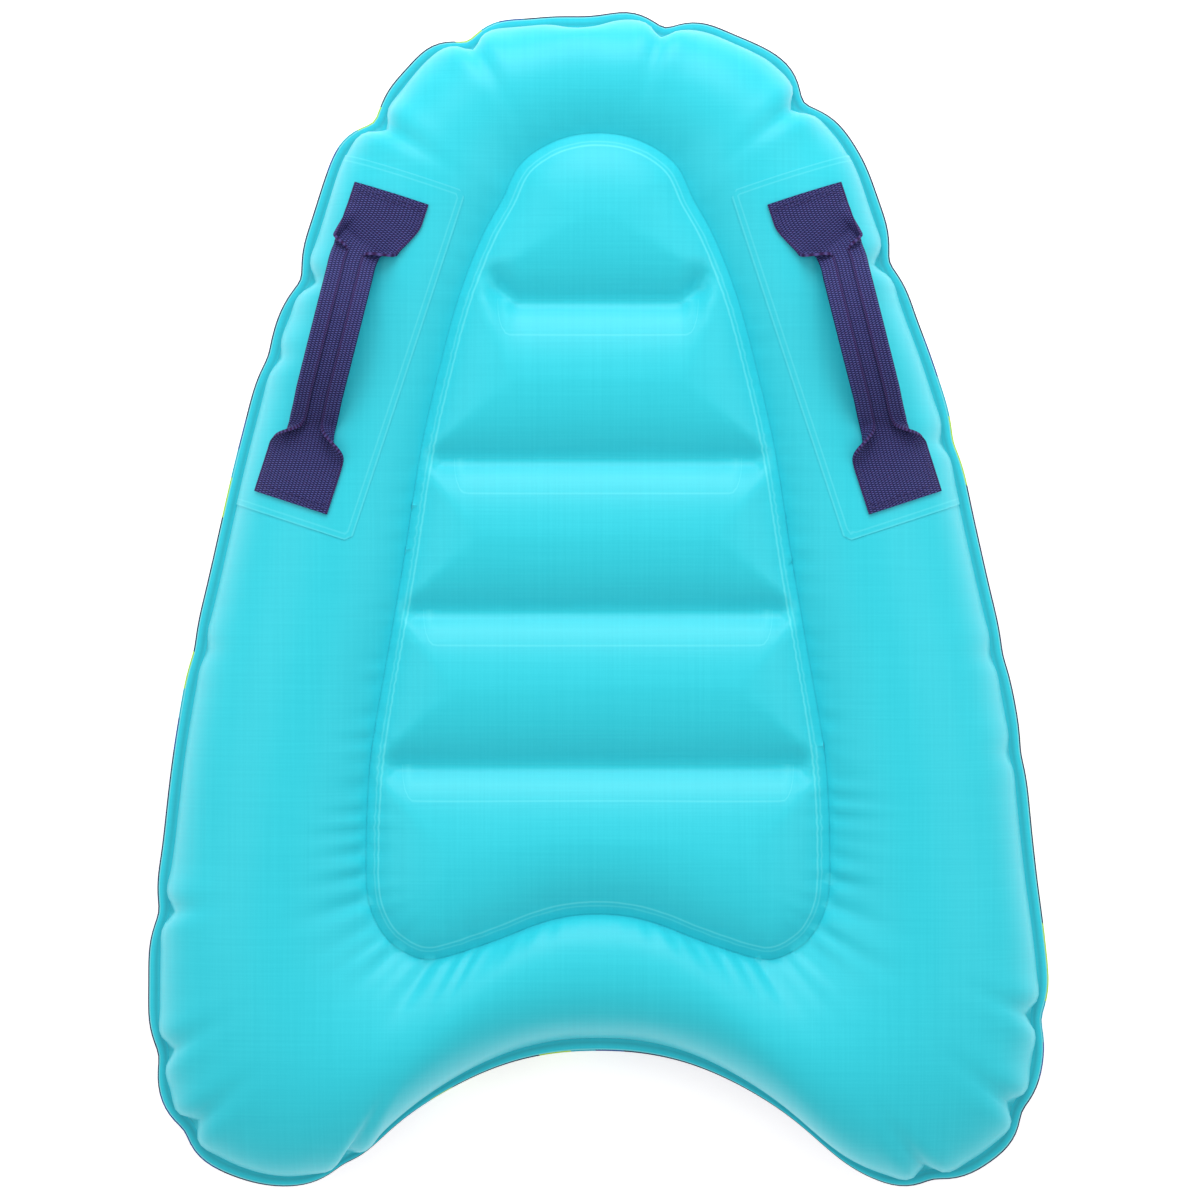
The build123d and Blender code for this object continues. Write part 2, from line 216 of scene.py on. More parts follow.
NOTCHES = [(-78, 342, 7), (42, 346, 7), (121, 305, 8), (-133, 293, 8), (-185, 199, 6), (180, 210, 6),
           (-206, 152, 3), (219, 98, 3), (-266, -196, 5), (-274, -283, 6), (-244, -321, 7), (-166, -346, 7),
           (266, -263, 6), (255, -315, 7), (209, -359, 7), (-255, -31, 2), (250, -35, 2), (265, -97, 2)]
for x, y, deep in NOTCHES:
    away = np.hypot(rim[:, 0] - x, rim[:, 1] - y)
    c = int(away.argmin())
    dist = np.hypot(*(rim - rim[c]).T)
    push = 1.25 * deep * np.exp(-(dist / 5.5)**2) - 0.22 * deep * np.exp(-((dist - 22) / 11)**2)
    fade = np.clip((ARC - ARC[:, -1:] + 45) / 45, 0, 1)
    P[:, :, :2] -= out[:, None] * (push[:, None] * fade)[:, :, None]
held_rim = P.copy()
bump = rng.normal(0, 1, S.shape[:2])
for _ in range(3):
    bump = (np.roll(bump, 1, 0) + np.roll(bump, -1, 0) + bump) / 3
P[:, 1:ROWS - 1, 2] += 0.5 * bump[:, 1:ROWS - 1]
anchor_seam = 60.0
D0s = np.roll(S, -1, 0) + np.roll(S, 1, 0) - 2 * S


def second_u(a):
    d = np.zeros_like(a)
    d[:, 1:-1] = a[:, 2:] + a[:, :-2] - 2 * a[:, 1:-1]
    return d


D0u = second_u(S)
deg = np.bincount(edges.ravel(), minlength=MID).astype(float)


def gather(values, a, b):
    """Adds values to vertex a and takes them from vertex b of each edge."""
    return np.column_stack([
        np.bincount(a, values[:, i], MID) - np.bincount(b, values[:, i], MID) for i in range(3)])


def umbrella(x):
    d = x[edges[:, 1]] - x[edges[:, 0]]
    return gather(d, edges[:, 0], edges[:, 1]) / deg[:, None]


U0 = umbrella(M0)


def pull(d, rest, k):
    length = np.linalg.norm(d, axis=-1)
    return d * (k * (length - rest) / np.maximum(length, 1e-9))[..., None]


STEPS = 1400
for n in range(STEPS):
    F = np.zeros_like(P)
    f = pull(np.roll(P, -1, 0) - P, rest_s, k_line)
    F += f - np.roll(f, 1, 0)
    f = pull(np.diff(P, axis=1), rest_u, k_line)
    F[:, :-1] += f
    F[:, 1:] -= f
    Q = np.roll(P, -1, 0)
    f = pull(Q[:, 1:] - P[:, :-1], rest_a, k_shear)
    F[:, :-1] += f
    F[:, 1:] -= np.roll(f, 1, 0)
    f = pull(Q[:, :-1] - P[:, 1:], rest_b, k_shear)
    F[:, 1:] += f
    F[:, :-1] -= np.roll(f, 1, 0)
    if n % 3 == 0:
        a = np.roll(P, -1, 0) - np.roll(P, 1, 0)
        b = np.zeros_like(P)
        b[:, 1:-1] = P[:, 2:] - P[:, :-2]
        b[:, 0] = P[:, 1] - P[:, 0]
        air = np.cross(a, b) / 4
        air[:, ROWS - 1:] = 0
        x = M[tris]
        face = np.cross(x[:, 1] - x[:, 0], x[:, 2] - x[:, 0]) / 6
        air_m = np.zeros_like(M)
        for c in range(3):
            for i in range(3):
                air_m[:, i] += np.bincount(tris[:, c], face[:, i], MID)
    Ds = np.roll(P, -1, 0) + np.roll(P, 1, 0) - 2 * P - D0s
    Du = second_u(P) - D0u
    stiff = -260.0 * (np.roll(Ds, -1, 0) + np.roll(Ds, 1, 0) - 2 * Ds) - 260.0 * second_u(Du)
    stiff_m = -900.0 * umbrella(umbrella(M) - U0)
    F += pressure * air + stiff
    G = pressure * air_m + stiff_m
    f = pull(M[edges[:, 1]] - M[edges[:, 0]], rest_m, k_line * 0.8)
    G += gather(f, edges[:, 0], edges[:, 1])
    G[:COLUMNS] += F[:, 0] + anchor_seam * (M0[:COLUMNS] - M[:COLUMNS])
    G[pin_rows] += 600.0 * (M0[pin_rows] - M[pin_rows])
    F[:, ROWS - 1:] += 120.0 * (held_rim[:, ROWS - 1:] - P[:, ROWS - 1:])
    V = (V + dt * F) * 0.97
    W = (W + dt * G) * 0.97
    W[:COLUMNS, 2] = 0
    W[pin_rows, 2] = 0
    V[:, ROWS - 1:, 2] = 0
    P += dt * V
    M += dt * W
    P[:, 0] = M[:COLUMNS]
    V[:, 0] = W[:COLUMNS]
    P[:, 1:ROWS - 1, 2] = np.maximum(P[:, 1:ROWS - 1, 2], 0.15)

# Puckers: short creases square to the seam and the cross welds, and one running in
# from each notch of the rim. They are cut into the inflated surface along its normal.
run_s = np.cumsum(np.linalg.norm(np.roll(seam, -1, 0) - seam, axis=1))
normal = np.cross(np.roll(P, -1, 0) - np.roll(P, 1, 0), np.gradient(P, axis=1))
normal /= np.maximum(np.linalg.norm(normal, axis=-1, keepdims=True), 1e-9)
owner = np.array([int(np.argmin(np.hypot(*(seam - p).T))) for p in mid_xy])
dent, dent_m = np.zeros(P.shape[:2]), np.zeros(MID)
at = 6.0
while at < run_s[-1] - 6:
    c = int(np.searchsorted(run_s, at))
    x, y = seam[c]
    corner = math.exp(-((abs(x) - 120) / 50)**2 - ((y + 190) / 75)**2)
    strong = 0.22 + 0.45 * min(max((110 - y) / 160, 0), 1) + 0.75 * corner
    deep = strong * rng.uniform(0.5, 1.5)
    long = rng.uniform(14, 26) * (0.8 + corner)
    wide = rng.uniform(3.0, 4.6)
    apart = np.abs(run_s - run_s[c])
    apart = np.minimum(apart, run_s[-1] - apart)
    line = np.exp(-(apart / wide)**2) - 0.45 * np.exp(-((apart - 1.9 * wide) / wide)**2)
    dent += deep * line[:, None] * np.clip(ARC / 5, 0, 1) * np.exp(-(ARC / long)**2)
    dent_m += 0.75 * deep * line[owner] * np.clip(gap / 4, 0, 1) * np.exp(-(gap / (0.55 * long))**2)
    at += rng.uniform(8, 17)
for x, y, deep in NOTCHES:
    c = int(np.hypot(rim[:, 0] - x, rim[:, 1] - y).argmin())
    dist = np.hypot(*(rim - rim[c]).T)
    line = np.exp(-(dist / 5.5)**2) - 0.5 * np.exp(-((dist - 13) / 9)**2)
    inward = ARC[:, ROWS - 1:ROWS] - ARC
    dent += 0.75 * deep * line[:, None] * np.clip(inward / 4, 0, 1) * np.exp(-(inward / (22 + 3 * deep))**2)
for y, reach, run in WELDS:
    x = -run
    while x < run:
        x += rng.uniform(7, 15)
        deep, wide = rng.uniform(0.2, 0.75), rng.uniform(2.6, 4.2)
        away = np.abs(mid_xy[:, 1] - y)
        line = np.exp(-((mid_xy[:, 0] - x) / wide)**2) * np.clip((away - 3) / 4, 0, 1)
        dent_m += deep * line * np.exp(-(away / 13)**2)
P[:, 1:ROWS] -= (dent[..., None] * normal)[:, 1:ROWS]
M[COLUMNS:, 2] -= dent_m[COLUMNS:]

# ---------------------------------------------------------------------------
# Top sheet: turquoise coated woven fabric, one continuous skin over the ring and
# the middle, with the rim lip. Made from the inflated surface, 0.5 mm thick.
SQUEEZE = (MIDDLE - 0.4) / P[..., 2].max()
row = ROWS + 2
index = np.concatenate([np.arange(COLUMNS) * row, COLUMNS * row + np.arange(MID - COLUMNS)])
here = np.arange(COLUMNS)[:, None] * row + np.arange(row - 1)
after = np.roll(np.arange(COLUMNS), -1)[:, None] * row + np.arange(row - 1)
quads = np.stack([here, after, after + 1, here + 1], -1).reshape(-1, 4)
faces = quads.tolist() + index[tris].tolist()
skin = np.vstack([P.reshape(-1, 3), M[COLUMNS:]]) * [1, 1, SQUEEZE] + [0, 0, 0.6]
seam_gap = np.concatenate([-ARC.ravel(), gap[COLUMNS:]])
lip_gap = np.concatenate([(ARC[:, -1:] - ARC).ravel(), np.full(MID - COLUMNS, 200.0)])
band = np.full(MID, 200.0)
strip = np.full(MID, 200.0)
for y, reach, run in WELDS:
    dx = np.maximum(abs(mid_xy[:, 0]) - reach - 4, 0)
    below = y - mid_xy[:, 1]
    band = np.where((below > -3) & (below < 60), np.hypot(np.maximum(below, 0), 3 * dx), band)
    strip = np.minimum(strip, np.hypot(np.maximum(abs(mid_xy[:, 0]) - reach, 0), below))
band = np.concatenate([np.full(COLUMNS * row, 200.0), band[COLUMNS:]])
strip = np.concatenate([np.full(COLUMNS * row, 200.0), strip[COLUMNS:]])


def piece(name, verts, faces, numbers, material, thick=0.0):
    """A smooth-shaded mesh object in metres from points in mm over the middle plane."""
    mesh = bpy.data.meshes.new(name)
    mesh.from_pydata(((np.asarray(verts) + [0, 0, MIDDLE]) / 1000).tolist(), [], faces)
    for key, values in numbers.items():
        kind = "FLOAT_VECTOR" if np.ndim(values) == 2 else "FLOAT"
        spot = mesh.attributes.new(key, kind, "POINT")
        field = "vector" if kind == "FLOAT_VECTOR" else "value"
        spot.data.foreach_set(field, np.ravel(values).astype(np.float32))
    obj = bpy.data.objects.new(name, mesh)
    bpy.context.scene.collection.objects.link(obj)
    mesh.materials.append(material)
    bpy.ops.object.select_all(action="DESELECT")
    obj.select_set(True)
    bpy.context.view_layer.objects.active = obj
    if thick:
        solid = obj.modifiers.new("thick", "SOLIDIFY")
        solid.thickness = abs(thick) / 1000
        solid.offset = -1 if thick > 0 else 0
        bpy.ops.object.modifier_apply(modifier="thick")
    bpy.ops.object.shade_smooth_by_angle(angle=math.radians(60))
    return obj


def new_material(name):
    material = bpy.data.materials.new(name)
    material.use_nodes = True
    return material, material.node_tree.nodes, material.node_tree.links


def number(tree, operation, *inputs):
    """A Math node on plain numbers or sockets; gives its output socket."""
    node = tree.nodes.new("ShaderNodeMath")
    node.operation = operation
    for slot, value in zip(node.inputs, inputs):
        if isinstance(value, (int, float)):
            slot.default_value = value
        else:
            tree.links.new(value, slot)
    return node.outputs[0]


def stroke(tree, key, at, wide):
    """1 on a line where an attribute has a value, 0 past its width."""
    read = tree.nodes.new("ShaderNodeAttribute")
    read.attribute_name = key
    far = number(tree, "ABSOLUTE", number(tree, "SUBTRACT", read.outputs["Fac"], at))
    return number(tree, "SUBTRACT", 1.0, number(tree, "MINIMUM", number(tree, "DIVIDE", far, wide), 1.0))


def tint(tree, colour, factor, to):
    """Mixes a colour socket toward a fixed colour by a factor socket."""
    mix = tree.nodes.new("ShaderNodeMix")
    mix.data_type = "RGBA"
    tree.links.new(factor, mix.inputs["Factor"])
    tree.links.new(colour, mix.inputs["A"])
    mix.inputs["B"].default_value = (*to, 1)
    return mix.outputs["Result"]


def threads(tree, scales):
    """Fine uneven lines of the weave along the given stretch, as a factor 0 to 1."""
    place = tree.nodes.new("ShaderNodeTexCoord")
    stretch = tree.nodes.new("ShaderNodeMapping")
    stretch.inputs["Scale"].default_value = scales
    noise = tree.nodes.new("ShaderNodeTexNoise")
    noise.inputs["Scale"].default_value = 1.0
    noise.inputs["Detail"].default_value = 1.0
    tree.links.new(place.outputs["Object"], stretch.inputs["Vector"])
    tree.links.new(stretch.outputs["Vector"], noise.inputs["Vector"])
    return noise.outputs["Fac"]


turquoise, nodes, links = new_material("turquoise_fabric")
tree = turquoise.node_tree
shader = nodes["Principled BSDF"]
shader.inputs["Roughness"].default_value = 0.42
shader.inputs["Specular IOR Level"].default_value = 0.35
shader.inputs["Sheen Weight"].default_value = 0.15
weft, warp = threads(tree, (14, 760, 14)), threads(tree, (620, 10, 10))
grain = number(tree, "MULTIPLY", number(tree, "SUBTRACT", number(tree, "ADD", weft, warp), 0.72), 0.9)
grain.node.use_clamp = True
base = nodes.new("ShaderNodeMix")
base.data_type = "RGBA"
base.inputs["A"].default_value = (0.018, 0.600, 0.715, 1)
base.inputs["B"].default_value = (0.028, 0.655, 0.765, 1)
links.new(grain, base.inputs["Factor"])
colour = base.outputs["Result"]
pale, deep = (0.16, 0.84, 0.90), (0.012, 0.36, 0.44)
colour = tint(tree, colour, number(tree, "MULTIPLY", stroke(tree, "seam_gap", 8.0, 0.9), 0.55), pale)
colour = tint(tree, colour, number(tree, "MULTIPLY", stroke(tree, "seam_gap", 5.6, 0.8), 0.35), pale)
colour = tint(tree, colour, number(tree, "MULTIPLY", stroke(tree, "seam_gap", 0.0, 1.1), 0.35), deep)
colour = tint(tree, colour, number(tree, "MULTIPLY", stroke(tree, "band", 11.0, 9.0), 0.16), pale)
colour = tint(tree, colour, number(tree, "MULTIPLY", stroke(tree, "band", 21.0, 0.9), 0.30), pale)
colour = tint(tree, colour, number(tree, "MULTIPLY", stroke(tree, "strip", 0.0, 1.6), 0.45), deep)
colour = tint(tree, colour, number(tree, "MULTIPLY", stroke(tree, "lip_gap", 4.4, 2.6), 0.6), deep)
lip_edge = number(tree, "MULTIPLY", stroke(tree, "lip_gap", 0.0, 1.0), 0.7)
colour = tint(tree, colour, lip_edge, (0.35, 0.85, 0.85))
links.new(colour, shader.inputs["Base Color"])
bump = nodes.new("ShaderNodeBump")
bump.inputs["Strength"].default_value = 0.18
bump.inputs["Distance"].default_value = 0.0003
links.new(grain, bump.inputs["Height"])
links.new(bump.outputs["Normal"], shader.inputs["Normal"])

marks = {"seam_gap": seam_gap, "lip_gap": lip_gap, "band": band, "strip": strip}
top = piece("board_top", skin, faces, marks, turquoise, 0.5)
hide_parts("ring_top_sheet", "centre_top_sheet")
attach(top, "board")
tree_top = BVHTree.FromPolygons(((skin + [0, 0, MIDDLE]) / 1000).tolist(), faces)

# ---------------------------------------------------------------------------
# Bottom sheet: the same cut turned over, printed in navy, blue and lime. Flat round
# the two valves, with a hole under each.
printed, nodes, links = new_material("printed_fabric")
tree = printed.node_tree
shader = nodes["Principled BSDF"]
shader.inputs["Roughness"].default_value = 0.45
shader.inputs["Specular IOR Level"].default_value = 0.35
place = nodes.new("ShaderNodeTexCoord")
sway = nodes.new("ShaderNodeTexWave")
sway.bands_direction = "DIAGONAL"
sway.inputs["Scale"].default_value = 1.5
sway.inputs["Distortion"].default_value = 4.0
sway.inputs["Detail"].default_value = 0.0
sway.inputs["Detail Scale"].default_value = 1.2
links.new(place.outputs["Object"], sway.inputs["Vector"])
ramp = nodes.new("ShaderNodeValToRGB")
ramp.color_ramp.interpolation = "CONSTANT"
bands = [(0.0, (0.010, 0.014, 0.075)), (0.42, (0.012, 0.060, 0.300)), (0.58, (0.020, 0.420, 0.560)),
         (0.72, (0.500, 0.720, 0.030)), (0.88, (0.010, 0.014, 0.075))]
while len(ramp.color_ramp.elements) < len(bands):
    ramp.color_ramp.elements.new(1.0)
for element, (spot, shade) in zip(ramp.color_ramp.elements, bands):
    element.position = spot
    element.color = (*shade, 1)
links.new(sway.outputs["Fac"], ramp.inputs["Fac"])
links.new(ramp.outputs["Color"], shader.inputs["Base Color"])
weft = threads(tree, (14, 760, 14))
bump = nodes.new("ShaderNodeBump")
bump.inputs["Strength"].default_value = 0.18
bump.inputs["Distance"].default_value = 0.0003
links.new(weft, bump.inputs["Height"])
links.new(bump.outputs["Normal"], shader.inputs["Normal"])

belly = skin.copy()
wide = np.zeros_like(P)
wide[:, ROWS:, :2] = out[:, None] * 0.9
belly[:COLUMNS * row] += wide.reshape(-1, 3)
belly[:, 2] = -belly[:, 2]
valves = [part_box("ring_valve_plug"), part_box("centre_valve_plug")]
flat_nodes = [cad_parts["ring_bottom_sheet"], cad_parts["centre_bottom_sheet"]]
open_faces = np.zeros(len(faces), bool)
for (a, b), node in zip(valves, flat_nodes):
    hub = (a + b) / 2
    polygons = [tuple(p.vertices) for p in node.data.polygons]
    cad = BVHTree.FromPolygons([v.co for v in node.data.vertices], polygons)
    away = np.hypot(belly[:, 0] / 1000 - hub.x, belly[:, 1] / 1000 - hub.y)
    for i in np.flatnonzero((away < 0.045) & (belly[:, 2] < 0)):
        spot = belly[i]
        hit = cad.ray_cast(Vector((spot[0] / 1000, spot[1] / 1000, -0.05)), Vector((0, 0, 1)))[0]
        level = hit.z * 1000 - MIDDLE if hit and hit.z < 0.03 else None
        if level is not None:
            share = min(max((away[i] - 0.019) / 0.024, 0), 1)
            share = share * share * (3 - 2 * share)
            belly[i, 2] = level * (1 - share) + spot[2] * share
    centres = np.array([belly[list(f)].mean(0) for f in faces])
    open_faces |= np.hypot(centres[:, 0] / 1000 - hub.x, centres[:, 1] / 1000 - hub.y) < 0.0105
turned = [tuple(reversed(f)) for f, gone in zip(faces, open_faces) if not gone]
bottom = piece("board_bottom", belly, turned, {}, printed, 0.5)
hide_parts("ring_bottom_sheet", "centre_bottom_sheet")
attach(bottom, "board")

# ---------------------------------------------------------------------------
# Reinforcement patches: a second layer of the fabric welded on under each handle,
# from inside the handle out to the rim. Cut from the ring's own surface.
turn = math.radians(18.1)
frame_x = np.array([math.cos(turn), math.sin(turn)])
frame_y = np.array([-math.sin(turn), math.cos(turn)])
FOOT = np.array([158.5, 155.9])
patch_fabric = turquoise.copy()
patch_fabric.name = "patch_fabric"
tree = patch_fabric.node_tree
shader = tree.nodes["Principled BSDF"]
colour = shader.inputs["Base Color"].links[0].from_socket
colour = tint(tree, colour, number(tree, "MULTIPLY", stroke(tree, "edge", 0.4, 0.8), 0.32), pale)
colour = tint(tree, colour, number(tree, "MULTIPLY", stroke(tree, "edge", 3.6, 0.8), 0.28), pale)
tree.links.new(colour, shader.inputs["Base Color"])
for side, word in ((1, "right"), (-1, "left")):
    shell = bmesh.new()
    ring_pts = skin[:COLUMNS * row].reshape(COLUMNS, row, 3)
    chosen = {}
    for i in range(COLUMNS):
        for j in range(ROWS):
            p = ring_pts[i, j]
            if p[0] * side > 40 and -40 < p[1] < 330:
                chosen[i, j] = shell.verts.new(p)
    for i, j in list(chosen):
        k = (i + 1) % COLUMNS
        corners = [(i, j), (k, j), (k, j + 1), (i, j + 1)]
        if all(c in chosen for c in corners):
            shell.faces.new([chosen[c] for c in corners])
    cuts = [(-43, 0, -1, 0), (0, 116, 0, 1), (0, -112, 0, -1), (-41, 114, -1, 1), (-41, -110, -1, -1)]
    for w, v, nw, nv in cuts:
        spot = FOOT + w * frame_x + v * frame_y
        normal = nw * frame_x + nv * frame_y
        bmesh.ops.bisect_plane(
            shell, geom=shell.verts[:] + shell.edges[:] + shell.faces[:], clear_outer=True,
            plane_co=(side * spot[0], spot[1], 0), plane_no=(side * normal[0], normal[1], 0))
    shell.normal_update()
    shell.verts.index_update()
    pts = np.array([tuple(v.co + v.normal * 0.55) for v in shell.verts])
    local = (pts[:, :2] * [side, 1] - FOOT) @ np.array([frame_x, frame_y]).T
    edge = np.minimum(np.minimum(local[:, 0] + 43, 116 - local[:, 1]), local[:, 1] + 112)
    polys = [[v.index for v in f.verts] for f in shell.faces]
    shell.free()
    lost = {"seam_gap": np.full(len(pts), 99.0), "lip_gap": np.full(len(pts), 99.0),
            "band": np.full(len(pts), 99.0), "strip": np.full(len(pts), 99.0), "edge": edge}
    patch = piece(f"patch_{word}", pts, polys, lost, patch_fabric, 0.5)
    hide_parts(f"handle_patch_{word}")
    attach(patch, "board")

# ---------------------------------------------------------------------------
# Handles: navy webbing 48 mm wide, sewn flat at both ends and folded lengthwise to a
# 27 mm grip between. Each is two halves that meet in the middle of the grip.
WEB_HALF, WEB_THICK = 24.0, 1.7      # flat webbing: half its width, and its thickness
FOLD_AT, FLAP = 12.8, 11.2           # from the middle to the fold, and past it
FOLD_ROUND = 2.9                     # length of webbing in the fold's bend
webbing, nodes, links = new_material("navy_webbing")
tree = webbing.node_tree
shader = nodes["Principled BSDF"]
shader.inputs["Roughness"].default_value = 0.8
shader.inputs["Specular IOR Level"].default_value = 0.2
read = nodes.new("ShaderNodeAttribute")
read.attribute_name = "weave"
split = nodes.new("ShaderNodeSeparateXYZ")
links.new(read.outputs["Vector"], split.inputs["Vector"])
lane = number(tree, "DIVIDE", split.outputs["X"], 2.1)
shift = number(tree, "MULTIPLY", number(tree, "FLOORED_MODULO", number(tree, "FLOOR", lane), 2.0), 0.5)
pick = number(tree, "FRACT", number(tree, "ADD", number(tree, "DIVIDE", split.outputs["Y"], 1.35), shift))
across = number(tree, "SINE", number(tree, "MULTIPLY", number(tree, "FRACT", lane), math.pi))
down = number(tree, "SINE", number(tree, "MULTIPLY", pick, math.pi))
# Rib profile of the weave. As bump it is real relief; as colour, the lighter rib crests are painted
# highlight and the dark gaps between ribs are painted shade.
rib_relief_and_highlight = number(tree, "MULTIPLY", number(tree, "POWER", across, 0.7), number(tree, "POWER", down, 2.6))
noise = nodes.new("ShaderNodeTexNoise")
noise.inputs["Scale"].default_value = 0.9
links.new(read.outputs["Vector"], noise.inputs["Vector"])
fleck = number(tree, "GREATER_THAN", noise.outputs["Fac"], 0.60)
# Near-black navy in the gaps between ribs (painted shade) to pale lavender on the rib crests (painted
# highlight).
base = nodes.new("ShaderNodeMix")
base.data_type = "RGBA"
base.inputs["A"].default_value = (0.0060, 0.0052, 0.046, 1)
base.inputs["B"].default_value = (0.110, 0.120, 0.400, 1)
links.new(rib_relief_and_highlight, base.inputs["Factor"])
colour = base.outputs["Result"]
colour = tint(tree, colour, number(tree, "MULTIPLY", fleck, 0.22), (0.10, 0.014, 0.10))
edge_flecks = number(tree, "MULTIPLY", stroke(tree, "hem", WEB_HALF, 2.0), 0.45)
colour = tint(tree, colour, edge_flecks, (0.055, 0.010, 0.075))
links.new(colour, shader.inputs["Base Color"])
bump = nodes.new("ShaderNodeBump")
bump.inputs["Strength"].default_value = 0.8
bump.inputs["Distance"].default_value = 0.0006
links.new(rib_relief_and_highlight, bump.inputs["Height"])
links.new(bump.outputs["Normal"], shader.inputs["Normal"])
thread_colour, nodes, links = new_material("navy_thread")
nodes["Principled BSDF"].inputs["Base Color"].default_value = (0.030, 0.022, 0.140, 1)
nodes["Principled BSDF"].inputs["Roughness"].default_value = 0.6


def ground(w, v, side):
    """Height of the top sheet, in mm over the middle plane, at a place in a handle's frame."""
    spot = FOOT + w * frame_x + v * frame_y
    hit = tree_top.ray_cast(Vector((side * spot[0] / 1000, spot[1] / 1000, 0.2)), Vector((0, 0, -1)))[0]
    return hit.z * 1000 - MIDDLE if hit else 0.0


def ramp_up(x, a, b):
    """0 before a, 1 after b, smooth between."""
    f = np.clip((x - a) / (b - a), 0, 1)
    return f * f * (3 - 2 * f)


for side, word in ((1, "right"), (-1, "left")):
    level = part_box(f"handle_grip_{word}")
    crown = level[1].z * 1000 - MIDDLE - 1.2
    LEAF = np.linspace(-WEB_HALF, WEB_HALF, 61)
    for half, v_end in (("lower", -100.5), ("upper", 100.5)):
        V = np.linspace(v_end, 6.5, 130)
        s = (V + 40) / 93
        drift = 2.6 + 1.2 * s + 5.2 * s**2
        if half == "lower":
            lean = ramp_up(V, -74, -46)
            fold_in = math.pi * ramp_up(V, -70, -45)
            fold_out = math.pi * ramp_up(V, -72, -46)
            shift_w = 2.0 * lean
        else:
            lean = ramp_up(-V, -88, -60)
            fold_in = 0.25 * ramp_up(-V, -80, -66) + (math.pi - 0.25) * ramp_up(-V, -65.5, -57)
            follow = np.arccos(1 - 9.0 * lean / 10.5)
            fold_out = follow + (math.pi - follow) * ramp_up(-V, -65, -57)
            shift_w = 9.0 * lean
        soft = ramp_up(V, -46, -30) * ramp_up(-V, -60, -44)
        middle_w = shift_w * (1 - soft) + drift * soft
        pts = np.zeros((len(V), len(LEAF), 3))
        for i, v in enumerate(V):
            arch = crown - 20.0 * (2 * s[i] - 1)**2
            xs, zs = LEAF.copy(), np.zeros(len(LEAF))
            for sign, fold in ((-1, fold_in[i]), (1, fold_out[i])):
                d = np.linspace(0, FLAP, 43)
                theta = fold * np.minimum(1, d / FOLD_ROUND)
                px = np.concatenate([[0], np.cumsum(np.cos(theta[:-1]) * np.diff(d))])
                pz = np.concatenate([[0], np.cumsum(np.sin(theta[:-1]) * np.diff(d))])
                past = np.clip(sign * LEAF - FOLD_AT, 0, None)
                on = past > 0
                xs[on] = sign * (FOLD_AT + np.interp(past[on], d, px))
                zs[on] = np.interp(past[on], d, pz)
            for k in range(len(LEAF)):
                w = middle_w[i] + xs[k]
                floor = ground(w, v, side) + 1.6
                base_z = 0.5 * (floor + arch + math.sqrt((floor - arch)**2 + 1.6))
                spot = FOOT + w * frame_x + v * frame_y
                pts[i, k] = (side * spot[0], spot[1], base_z + zs[k])
        n = len(LEAF)
        a = (np.arange(len(V) - 1)[:, None] * n + np.arange(n - 1)).ravel()
        quads_h = np.stack([a, a + 1, a + n + 1, a + n], -1)
        if (half == "upper") != (side < 0):
            quads_h = quads_h[:, ::-1]
        weave = np.stack([np.tile(LEAF, len(V)), np.repeat(V, n), np.zeros(len(V) * n)], -1)
        hem = np.abs(weave[:, 0])
        strap = piece(f"handle_{word}_{half}", pts.reshape(-1, 3), quads_h.tolist(),
                      {"weave": weave, "hem": hem}, webbing, -WEB_THICK)
        nodes_gone = [f"handle_{half}_pad_{word}"] + ([f"handle_grip_{word}"] if half == "lower" else [])
        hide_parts(*nodes_gone)
        for v in ((-54.0, -38.0) if half == "lower" else (67.0, 51.0)):
            spot = FOOT + (2 if half == "lower" else 8) * frame_x + v * frame_y
        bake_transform(strap)

    # Stitches along the sides and the sewn end of both pads.
    dashes, dash_faces = [], []
    for low_v, high_v, sewn in ((-100.5, -68.0, -1), (76.0, 100.5, 1)):
        track = []
        for w in (-21.0, 21.0):
            track += [((w, v), (w, v + 2.2)) for v in np.arange(low_v + 3, high_v - 4, 3.4)]
        v = (low_v + 3.0) if sewn < 0 else (high_v - 3.0)
        for dv in (0.0, 2.4):
            track += [((w, v - sewn * dv), (w + 2.2, v - sewn * dv)) for w in np.arange(-21, 18, 3.4)]
        for (w0, v0), (w1, v1) in track:
            first = len(dashes)
            along_w, along_v = (w1 - w0) / 2.2, (v1 - v0) / 2.2
            for f, thin in ((0, 0.15), (0.2, 0.42), (0.8, 0.42), (1, 0.15)):
                w, v = w0 + (w1 - w0) * f, v0 + (v1 - v0) * f
                z = ground(w, v, side) + 2.75
                for q in range(6):
                    t6 = q * math.pi / 3
                    dw, dv = -along_v * math.cos(t6) * thin, along_w * math.cos(t6) * thin
                    dz = math.sin(t6) * thin
                    spot = FOOT + (w + dw) * frame_x + (v + dv) * frame_y
                    dashes.append((side * spot[0], spot[1], z + dz))
            for r in range(3):
                for q in range(6):
                    a0, a1 = first + r * 6 + q, first + r * 6 + (q + 1) % 6
                    dash_faces.append([a0, a1, a1 + 6, a0 + 6])
            dash_faces.append([first + q for q in range(5, -1, -1)])
            dash_faces.append([first + 18 + q for q in range(6)])
    sewing = piece(f"stitching_{word}", dashes, dash_faces, {}, thread_colour)
    shell = bmesh.new()
    shell.from_mesh(sewing.data)
    bmesh.ops.recalc_face_normals(shell, faces=shell.faces[:])
    shell.to_mesh(sewing.data)
    shell.free()
    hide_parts(f"handle_stitching_{word}")
    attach(sewing, "board")

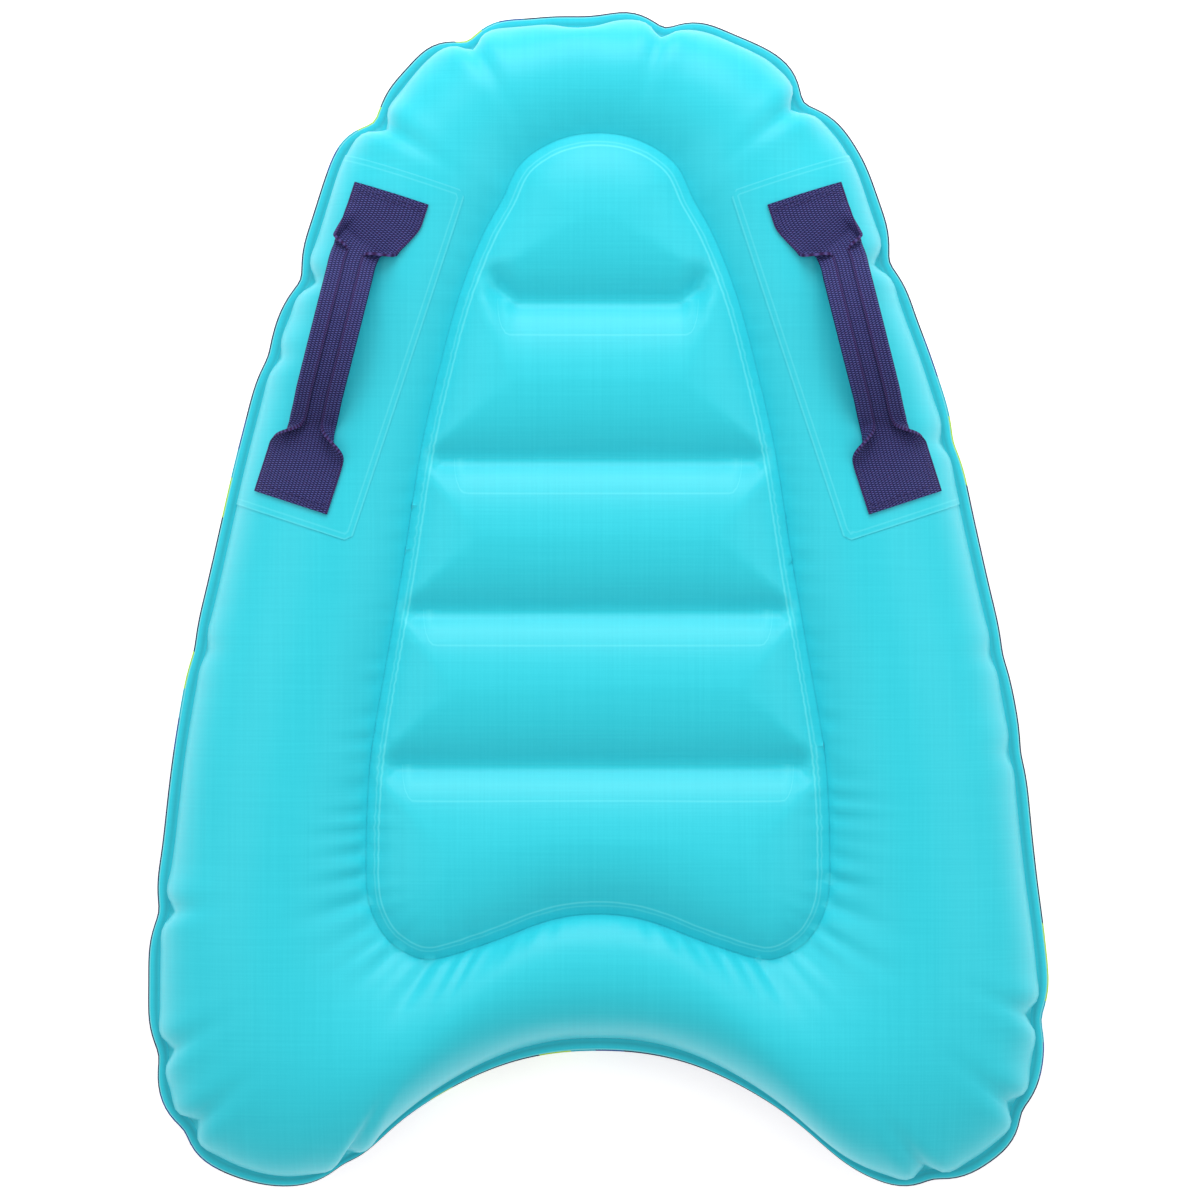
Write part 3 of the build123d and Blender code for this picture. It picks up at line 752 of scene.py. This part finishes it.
# ---------------------------------------------------------------------------
# Valves: clear soft vinyl, as the CAD parts are, with the inner walls in plain fabric.
vinyl, nodes, links = new_material("soft_vinyl")
nodes["Principled BSDF"].inputs["Base Color"].default_value = (0.72, 0.80, 0.82, 1)
nodes["Principled BSDF"].inputs["Roughness"].default_value = 0.22
nodes["Principled BSDF"].inputs["Subsurface Weight"].default_value = 0.0
inner, nodes, links = new_material("inner_fabric")
nodes["Principled BSDF"].inputs["Base Color"].default_value = (0.30, 0.70, 0.74, 1)
nodes["Principled BSDF"].inputs["Roughness"].default_value = 0.55
for name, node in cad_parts.items():
    node.data.materials.clear()
    node.data.materials.append(vinyl if "valve" in name else inner)

# ---------------------------------------------------------------------------
# Floor, lights and camera: straight down from high up, nose at the top, soft light
# stronger from the nose side.
bpy.ops.mesh.primitive_plane_add(size=12, location=(0, 0, -0.003))
floor = bpy.context.object
floor.name = "floor"
white, nodes, links = new_material("pale_floor")
nodes["Principled BSDF"].inputs["Base Color"].default_value = (0.93, 0.93, 0.93, 1)
nodes["Principled BSDF"].inputs["Roughness"].default_value = 0.9
nodes["Principled BSDF"].inputs["Emission Color"].default_value = (1, 1, 1, 1)
nodes["Principled BSDF"].inputs["Emission Strength"].default_value = 0.55
floor.data.materials.append(white)
world = bpy.data.worlds.new("studio")
bpy.context.scene.world = world
world.use_nodes = True
world.node_tree.nodes["Background"].inputs["Color"].default_value = (1, 1, 1, 1)
world.node_tree.nodes["Background"].inputs["Strength"].default_value = 0.56
for place, size, watts in (((0, 1.9, 1.5), 1.6, 32), ((-1.3, 0.3, 1.8), 1.5, 8), ((1.3, 0.3, 1.8), 1.5, 8)):
    bpy.ops.object.light_add(type="AREA", location=place)
    lamp = bpy.context.object
    lamp.data.size = size
    lamp.data.energy = watts
    lamp.rotation_euler = (Vector((0, 0, 0.03)) - Vector(place)).to_track_quat("-Z", "Y").to_euler()
bpy.ops.object.camera_add(location=(0.00125, 0.0003, 3.1))
camera = bpy.context.object
camera.rotation_euler = (0, 0, 0)
camera.data.sensor_width = 36
camera.data.lens = 36 * 3.05 / 0.75
camera.data.clip_end = 20
bpy.context.scene.camera = camera
bpy.context.scene.view_settings.view_transform = "Standard"
